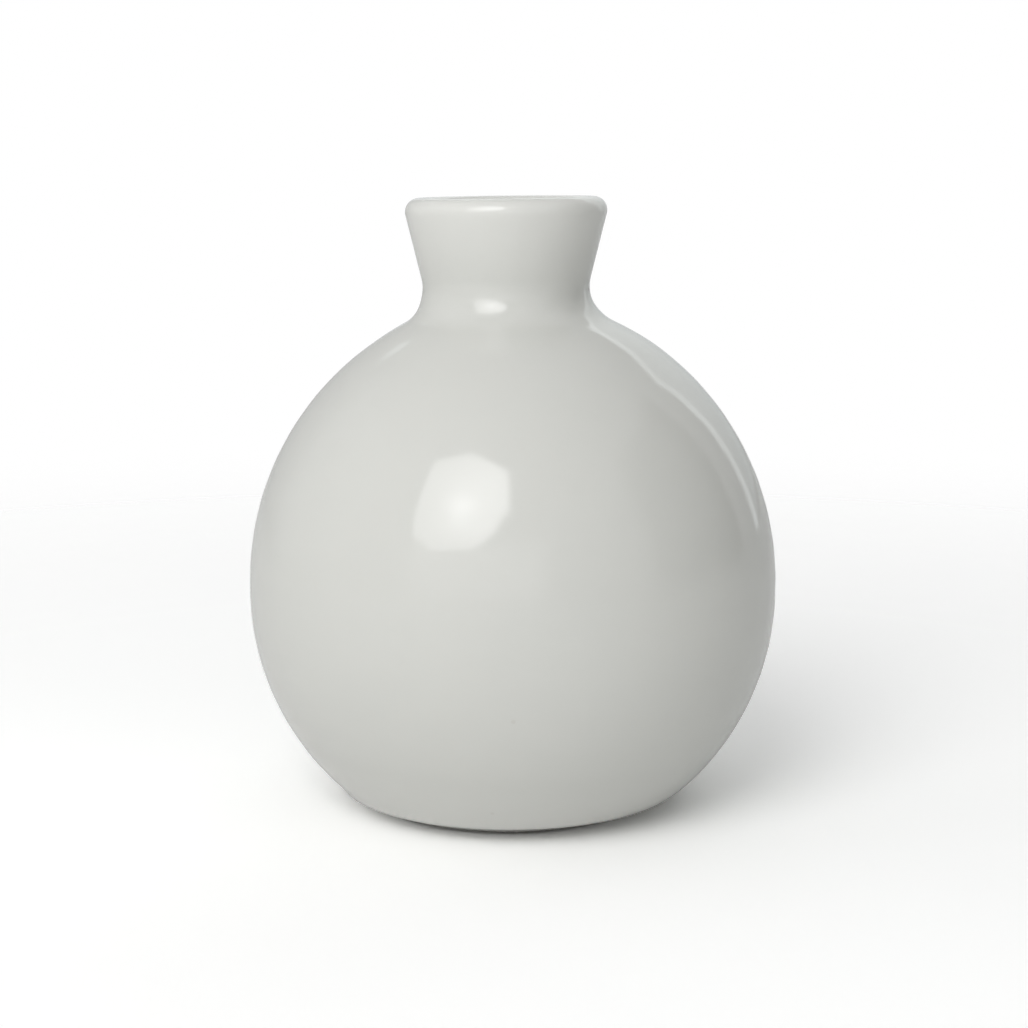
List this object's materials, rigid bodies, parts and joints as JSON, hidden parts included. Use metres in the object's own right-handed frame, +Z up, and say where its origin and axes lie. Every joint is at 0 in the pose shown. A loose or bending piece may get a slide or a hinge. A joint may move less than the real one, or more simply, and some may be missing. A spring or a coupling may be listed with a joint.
{
  "type": "bud vase",
  "caption": "Round glazed bud vase: a globe body on a flat bevelled foot, with a short flared neck and a rolled lip.",
  "frame": {"origin": "centre of the foot, on the surface that the vase stands on", "axes": "+Z up along the vase's axis, from the foot to the mouth; X and Y are level and equal"},
  "size_m": [0.085, 0.085, 0.0977],
  "materials": {
    "outer_glaze": "gloss",
    "inner_glaze": "gloss",
    "bare_clay": "matte",
    "slip": "matte"
  },
  "bodies": {
    "root": {"foot_disc": "bare_clay", "foot_slip_joint": "slip", "globe_wall": "bare_clay", "neck_slip_joint": "slip", "neck_collar": "bare_clay", "outer_glaze": "outer_glaze", "inner_glaze": "inner_glaze"}
  },
  "joints": []
}
